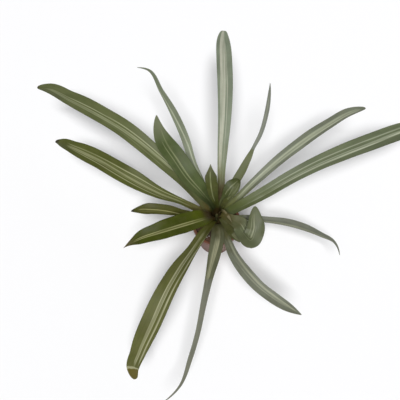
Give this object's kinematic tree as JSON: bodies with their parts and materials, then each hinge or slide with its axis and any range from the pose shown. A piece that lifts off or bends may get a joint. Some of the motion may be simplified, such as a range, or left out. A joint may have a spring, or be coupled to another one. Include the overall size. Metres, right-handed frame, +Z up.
{
  "type": "potted bromeliad",
  "caption": "Low rosette of long striped strap leaves arching out of a small round plastic nursery pot filled with bark soil; it stands on a shelf or table.",
  "frame": {"origin": "middle of the pot's flat underside, on the surface that it stands on", "axes": "+Z up along the pot's axis; -Y the front, where the picture's viewer stands; +X to that viewer's right"},
  "size_m": [0.4348, 0.3987, 0.134],
  "materials": {
    "leaf_olive": "satin olive green leaf with cream stripes",
    "leaf_pale": "satin grey-green leaf with broad cream stripes",
    "leaf_deep": "satin deep green leaf with a cream centre line",
    "dry_leaf": "matte dry leaf",
    "stem": "matte green stem",
    "bark_soil": "matte, loose bark and peat",
    "pot_plastic": "matte moulded plastic"
  },
  "bodies": {
    "root": {"pot": "pot_plastic", "soil": "bark_soil", "stem": "stem", "leaf_back_short": "leaf_olive", "leaf_heart_small": "leaf_olive", "dry_leaf_heart": "dry_leaf", "leaf_back_left_broad": "leaf_olive", "leaf_heart_curled": "leaf_deep", "leaf_right_curled": "leaf_olive", "leaf_left_broad": "leaf_deep", "leaf_front_small": "leaf_olive", "leaf_back_long": "leaf_pale", "leaf_back_right_twisted": "leaf_pale", "leaf_front_left_long": "leaf_olive", "leaf_back_left_thin": "leaf_pale", "leaf_right_long": "leaf_pale", "leaf_front_thin": "leaf_pale", "leaf_left_back_long": "leaf_olive", "leaf_back_right": "leaf_pale", "leaf_front_right": "leaf_pale", "leaf_left_long": "leaf_olive", "leaf_right_thin": "leaf_pale", "leaf_left_small": "leaf_olive"}
  },
  "joints": []
}
